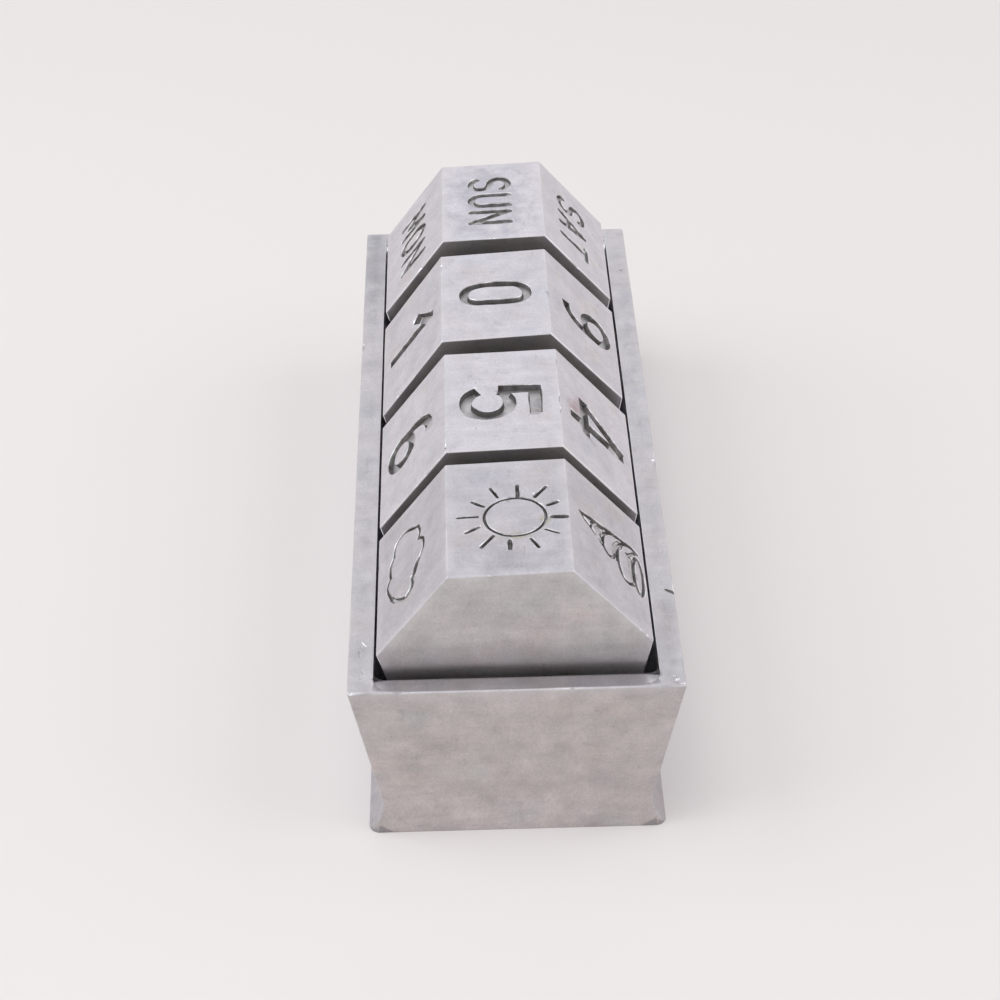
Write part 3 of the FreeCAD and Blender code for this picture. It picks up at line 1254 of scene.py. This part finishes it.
@dataclass
class EngravedBlock:
    """One many-sided block with a sign on each face.

    Attributes:
        node: the CAD node that it stands for, which is also its body.
        signs: its signs, from the face on top on towards the reader and round.
        finish: its dressed metal.
        seed: which way chance falls for its marks.
        chips: how many small chips its arrises have.
        chip_sizes: the least and the largest half size of a chip, in millimetres.
        chips_along: which share of the chips lies on the arrises between two signs.
    """

    node: str
    signs: tuple[Sign, ...]
    finish: DressedMetal
    seed: int
    chips: int = 18
    chip_sizes: tuple[float, float] = (0.15, 0.38)
    chips_along: float = 0.45

    def places(self, mesh: Shape) -> list[Matrix]:
        """Place of each sign: from millimetres on a face to metres in the block.

        Args:
            mesh: the whole solid, with flat faces.

        Returns:
            One matrix for each face, from the top one on towards the reader and round.
        """
        sides = [face for face in mesh.faces if abs(face.normal.x) < 0.1]
        sides = sorted(sides, key=lambda face: -face.calc_area())[:len(self.signs)]
        found = []
        for face in sides:
            normal = face.normal.normalized()
            turned = Matrix((X_AXIS, normal.cross(X_AXIS), normal)).transposed().to_4x4()
            turn = math.atan2(-normal.y, normal.z)
            order = turn if turn > -math.pi / len(self.signs) else turn + math.tau
            found.append((order, Matrix.Translation(face.calc_center_bounds()) @ turned @ Matrix.Scale(MM, 4)))
        return [place for _, place in sorted(found, key=lambda item: item[0])]

    def arrises(self, places: list[Matrix]) -> PrismArrises:
        """Find where the block's arrises run.

        Args:
            places: the places of its signs.

        Returns:
            The arrises.
        """
        low, high = (Vector(corner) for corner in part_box(self.node))
        middles = [place.to_translation() for place in places]
        axis = sum(middles, Vector()) / len(middles)
        up = middles[0] - axis
        return PrismArrises(axis, math.atan2(-up.y, up.z), len(places), up.length, (high.x - low.x) / 2)

    def chip(self, engraver: Engraver, arrises: PrismArrises) -> None:
        """Lay small chips along the arrises, by chance.

        Args:
            engraver: what takes them away.
            arrises: where they may lie.
        """
        chance = random.Random(self.seed)
        face_turn = math.tau / arrises.sides
        reach = arrises.apothem / math.cos(face_turn / 2)
        for _ in range(self.chips):
            corner = arrises.lean + face_turn * (chance.randrange(arrises.sides) + 0.5)
            start, end = (Vector((0.0, -math.sin(turn), math.cos(turn))) * reach
                          for turn in (corner, corner + face_turn))
            if chance.random() < self.chips_along:
                along = X_AXIS * chance.uniform(-1, 1) * arrises.half_length
                spot = arrises.axis + start + along
            else:
                side = X_AXIS * chance.choice((-1, 1)) * arrises.half_length
                spot = arrises.axis + start.lerp(end, chance.random()) + side
            size = tuple(chance.uniform(*self.chip_sizes) for _ in range(3))
            engraver.knock(spot, size, chance.uniform(0, 90))

    def build(self, looks: CutLooks) -> bpy.types.Object:
        """Build the block, cut its signs and let it ride on its body.

        Args:
            looks: the finishes inside the marks.

        Returns:
            The finished block.
        """
        dressing = HandDressing(seed=self.seed)
        solid = dressing.solid(self.node)
        places = self.places(solid)
        arrises = self.arrises(places)
        dressing.dress(solid)
        piece = new_object(self.node + "_engraved", solid, [self.finish.material(arrises)])
        engraver = Engraver()
        for sign, place in zip(self.signs, places):
            engraver.engrave(sign, place)
        self.chip(engraver, arrises)
        engraver.take_from(piece, looks)
        shade_flat_and_round(piece)
        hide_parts(self.node)
        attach(piece, self.node)
        return piece


@dataclass
class Tray:
    """The heavy tray that the blocks lie in.

    Attributes:
        finish: its dressed metal.
        node: the CAD node that it stands for, which is also its body.
        trough_edge: from the middle to the trough's edge, in millimetres.
        trough_end: from the middle to the trough's end, in millimetres.
        axis_below_rim: from the rim down to the line that the blocks turn about, in millimetres.
        dents: knocks on the rim: place along and across, half sizes, both in millimetres, turn and look.
    """

    finish: DressedMetal
    node: str = "tray"
    trough_edge: float = 24.8
    trough_end: float = 71.9
    axis_below_rim: float = 1.1
    dents: tuple[tuple[Point, Triple, float, Look], ...] = (
        ((63.4, -26.6), (1.1, 0.2, 0.12), 35.0, Look.BRIGHT), ((64.2, -26.9), (0.8, 0.18, 0.12), 20.0, Look.BARE),
        ((65.4, -27.3), (0.6, 0.2, 0.12), -15.0, Look.BARE), ((66.4, -27.1), (0.35, 0.2, 0.12), 0.0, Look.BRIGHT),
        ((70.6, -26.6), (0.6, 0.2, 0.12), 15.0, Look.BARE), ((72.0, -26.9), (0.4, 0.2, 0.12), 0.0, Look.BRIGHT),
        ((51.3, 28.6), (1.5, 0.4, 0.35), 55.0, Look.DIRTY_AND_SHADED), ((73.6, 27.2), (0.5, 0.35, 0.2), 40.0, Look.BARE),
        ((74.4, 27.7), (0.4, 0.5, 0.25), 10.0, Look.BRIGHT), ((75.2, 27.4), (0.3, 0.8, 0.3), 0.0, Look.BARE),
        ((75.4, 28.4), (0.35, 0.7, 0.3), 0.0, Look.BRIGHT), ((76.0, -20.6), (0.4, 1.1, 0.4), 0.0, Look.BARE),
        ((76.0, -18.4), (0.3, 0.5, 0.3), 0.0, Look.BRIGHT), ((75.9, -28.7), (0.4, 0.5, 0.4), 0.0, Look.BRIGHT),
        ((75.9, 9.5), (0.25, 0.6, 0.25), 0.0, Look.BRIGHT), ((-30.0, -28.9), (0.9, 0.4, 0.35), 0.0, Look.BARE),
        ((12.0, 28.8), (0.6, 0.5, 0.3), 0.0, Look.BRIGHT), ((-58.0, 27.4), (0.5, 0.4, 0.2), 30.0, Look.BARE),
    )

    def build(self, looks: CutLooks) -> bpy.types.Object:
        """Build the tray and let it ride on its body.

        Args:
            looks: the finishes inside the marks.

        Returns:
            The finished tray.
        """
        high = Vector(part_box(self.node)[1])
        dressing = HandDressing(grid=4.0, depth=0.1, wave=14.0, seed=11)
        solid = dressing.solid(self.node)
        dressing.dress(solid)
        arrises = TrayArrises(high, self.trough_edge * MM, self.trough_end * MM, high.z - self.axis_below_rim * MM)
        piece = new_object("tray_dressed", solid, [self.finish.material(arrises)])
        engraver = Engraver(wobble=0.0)
        for (along, across), size, turn, look in self.dents:
            engraver.knock(Vector((along * MM, across * MM, high.z)), size, turn, look)
        engraver.take_from(piece, looks)
        shade_flat_and_round(piece)
        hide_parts(self.node)
        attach(piece, self.node)
        return piece


@dataclass
class Studio:
    """Pale floor, soft light and the camera at the photograph's angle."""

    camera_place_mm: Triple = (335.8, -7.35, 280.9)
    camera_turn_deg: Triple = (51.755, 0.602, 88.459)
    lens_mm: float = 75.0
    sensor_mm: float = 36.0
    floor_half_width: float = 2.0
    floor_colour: Colour = (0.86, 0.82, 0.81, 1.0)
    floor_roughness: float = 0.9
    light_seen: float = 1.0
    light_felt: float = 0.5

    def camera(self) -> None:
        """Set up the camera."""
        data = bpy.data.cameras.new("camera")
        data.lens = self.lens_mm
        data.sensor_width = self.sensor_mm
        data.clip_start = 0.01
        camera = bpy.data.objects.new("camera", data)
        camera.location = Vector(self.camera_place_mm) * MM
        camera.rotation_euler = tuple(math.radians(turn) for turn in self.camera_turn_deg)
        bpy.context.scene.collection.objects.link(camera)
        bpy.context.scene.camera = camera

    def floor(self) -> None:
        """Lay the floor."""
        mesh = bmesh.new()
        bmesh.ops.create_grid(mesh, x_segments=1, y_segments=1, size=self.floor_half_width)
        material, nodes = new_material("floor_cloth")
        nodes.shader(self.floor_colour, self.floor_roughness, metallic=0.0)
        new_object("floor", mesh, [material])

    def world(self) -> None:
        """Light the world, plain white where it is seen and dimmer where it is felt."""
        world = bpy.data.worlds.new("studio")
        world.use_nodes = True
        nodes = Nodes(world.node_tree)
        path = nodes.add("ShaderNodeLightPath").outputs
        direct = nodes.largest(path["Is Camera Ray"], path["Is Glossy Ray"])
        direct = nodes.largest(direct, path["Is Transmission Ray"])
        strength = nodes.remap(direct, 0.0, 1.0, self.light_felt, self.light_seen)
        sky = nodes.add("ShaderNodeBackground", {"Color": (0.98, 0.98, 1.0, 1.0), "Strength": strength})
        nodes.add("ShaderNodeOutputWorld", {"Surface": sky.outputs[0]})
        bpy.context.scene.world = world

    def lamp(self, name: str, place: Triple, size: float, power: float, colour: Triple = (1.0, 1.0, 1.0),
             mirrored: bool = True) -> None:
        """Hang a soft lamp that looks at the object.

        Args:
            name: the lamp's name.
            place: where it hangs, in metres.
            size: its width, in metres.
            power: its power, in watts.
            colour: the colour of its light.
            mirrored: whether metal shows it.
        """
        data = bpy.data.lights.new(name, "AREA")
        data.shape = "SQUARE"
        data.size = size
        data.energy = power
        data.color = colour
        lamp = bpy.data.objects.new(name, data)
        lamp.location = place
        lamp.rotation_euler = (-Vector(place)).to_track_quat("-Z", "Y").to_euler()
        lamp.visible_glossy = mirrored
        bpy.context.scene.collection.objects.link(lamp)

    def build(self) -> None:
        """Set up the camera, the floor and the light."""
        self.camera()
        self.floor()
        self.world()
        self.lamp("overhead", (0.18, -0.15, 1.2), 0.6, 3.8, mirrored=False)
        self.lamp("left_softbox", (0.05, -0.9, 0.8), 0.95, 4.3, (0.95, 1.0, 1.0))
        self.lamp("right_softbox", (0.05, 0.9, 0.8), 0.95, 3.0)


def grey(level: float, red: float, blue: float) -> Colour:
    """A near-grey: its level, and how much more red and blue it has than green."""
    return level * red, level, level * blue, 1.0


PINK_BROWN = (0.74, 0.6, 0.58)
OLIVE = (0.74, 0.72, 0.5)
GREY = (0.86, 0.86, 0.87)

# Places of the stains, taken from the photograph
WEEKDAY_STAINS = (Stain((-54.0, -2.0, 56.0), (19.0, 10.0, 4.0), (0.8, 0.81, 0.84), 1.0),)
UNITS_STAINS = (
    Stain((19.0, 13.6, 52.4), (5.0, 2.8, 4.0), PINK_BROWN, 0.9),
    Stain((20.5, -11.0, 54.2), (5.0, 3.0, 3.0), GREY, 0.5),
)
WEATHER_STAINS = (
    Stain((56.4, 5.7, 55.8), (1.9, 1.5, 3.0), OLIVE, 0.9),
    Stain((60.0, 0.8, 55.8), (1.1, 2.4, 3.0), OLIVE, 0.7),
    Stain((67.0, -1.0, 56.0), (5.0, 11.0, 3.0), GREY, 0.9),
    Stain((70.2, 3.0, 44.0), (2.0, 8.0, 3.0), (0.93, 0.92, 0.92), 0.8),
)


def block_finish(name: str, level: float, stains: tuple[Stain, ...]) -> DressedMetal:
    """Finish of one block. Hands have polished some blocks brighter than others.

    Args:
        name: the material's name.
        level: how light its side faces are.
        stains: its patches of another tone.

    Returns:
        The finish.
    """
    sides = Tone(grey(level, 1.04, 1.065), grey(level * 0.97, 1.07, 1.03), grey(level * 0.96, 1.02, 1.09))
    ends = Tone(grey(0.515, 1.05, 0.995), grey(0.515, 1.085, 0.985), grey(0.505, 1.015, 0.99))
    # grey(0.7) is the arrises' polished colour, which also paints their highlight.
    return DressedMetal(name, sides, ends, grey(0.7, 1.02, 1.03), roughness=0.32, grain=0.01, unevenness=0.04,
                        stains=stains)


def tray_finish() -> DressedMetal:
    """Finish of the tray.

    Returns:
        The finish, with the patches of other tone that the photograph shows.
    """
    sides = Tone(grey(0.53, 1.04, 1.05), grey(0.52, 1.07, 1.02), grey(0.5, 1.02, 1.08))
    ends = Tone(grey(0.485, 1.065, 0.99), grey(0.485, 1.1, 0.975), grey(0.475, 1.02, 0.99))
    stains = (
        # Darker patches on the far left and the near right of the rim, a lighter band along the foot of the near end,
        # and two fainter patches on that end.
        Stain((-62.0, -27.0, 34.6), (22.0, 7.0, 6.0), (0.76, 0.77, 0.78), 1.0),
        Stain((64.0, 27.0, 34.6), (18.0, 6.0, 6.0), GREY, 1.0),
        Stain((76.0, 0.0, 3.0), (3.0, 26.0, 7.0), (1.14, 1.14, 1.15), 0.9),
        Stain((76.0, -14.0, 22.0), (2.0, 7.0, 5.0), (0.94, 0.93, 0.92), 0.8),
        Stain((76.0, 16.0, 12.0), (2.0, 8.0, 6.0), (0.94, 0.93, 0.94), 0.8),
    )
    # grey(0.62) is the arrises' polished colour, which also paints their highlight.
    return DressedMetal("tray_metal", sides, ends, grey(0.62, 1.02, 1.03), roughness=0.3, grain=0.012,
                        unevenness=0.05, stains=stains)


def main() -> None:
    """Build every piece in order and report it."""
    logging.basicConfig(level=logging.INFO, format="%(name)s: %(message)s")
    noise.seed_set(NOISE_SEED)
    bpy.context.scene.view_settings.view_transform = "Standard"
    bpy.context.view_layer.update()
    Studio().build()
    looks = CutLooks()
    letters = Lettering()
    weekdays = tuple(letters.word(text) for text in ("SUN", "MON", "TUE", "WED", "THU", "FRI", "SAT"))
    tens = tuple(DIGITS[name] for name in "0123789")
    units = tuple(DIGITS[name] for name in "5601234")
    weather = tuple(WEATHER[name] for name in ("sun", "cloud", "rain", "lightning", "snow", "wind", "whirlwind"))
    blocks = (
        EngravedBlock("weekday_block", weekdays, block_finish("weekday_metal", 0.65, WEEKDAY_STAINS), seed=1),
        EngravedBlock("tens_block", tens, block_finish("tens_metal", 0.62, ()), seed=2),
        EngravedBlock("units_block", units, block_finish("units_metal", 0.63, UNITS_STAINS), seed=3),
        EngravedBlock("weather_block", weather, block_finish("weather_metal", 0.54, WEATHER_STAINS), seed=4),
    )
    for maker in (Tray(tray_finish()), *blocks):
        piece = maker.build(looks)
        log.info("%s: %d faces, slots %s", piece.name, len(piece.data.polygons),
                 [material.name for material in piece.data.materials])


if __name__ == "__main__":
    main()
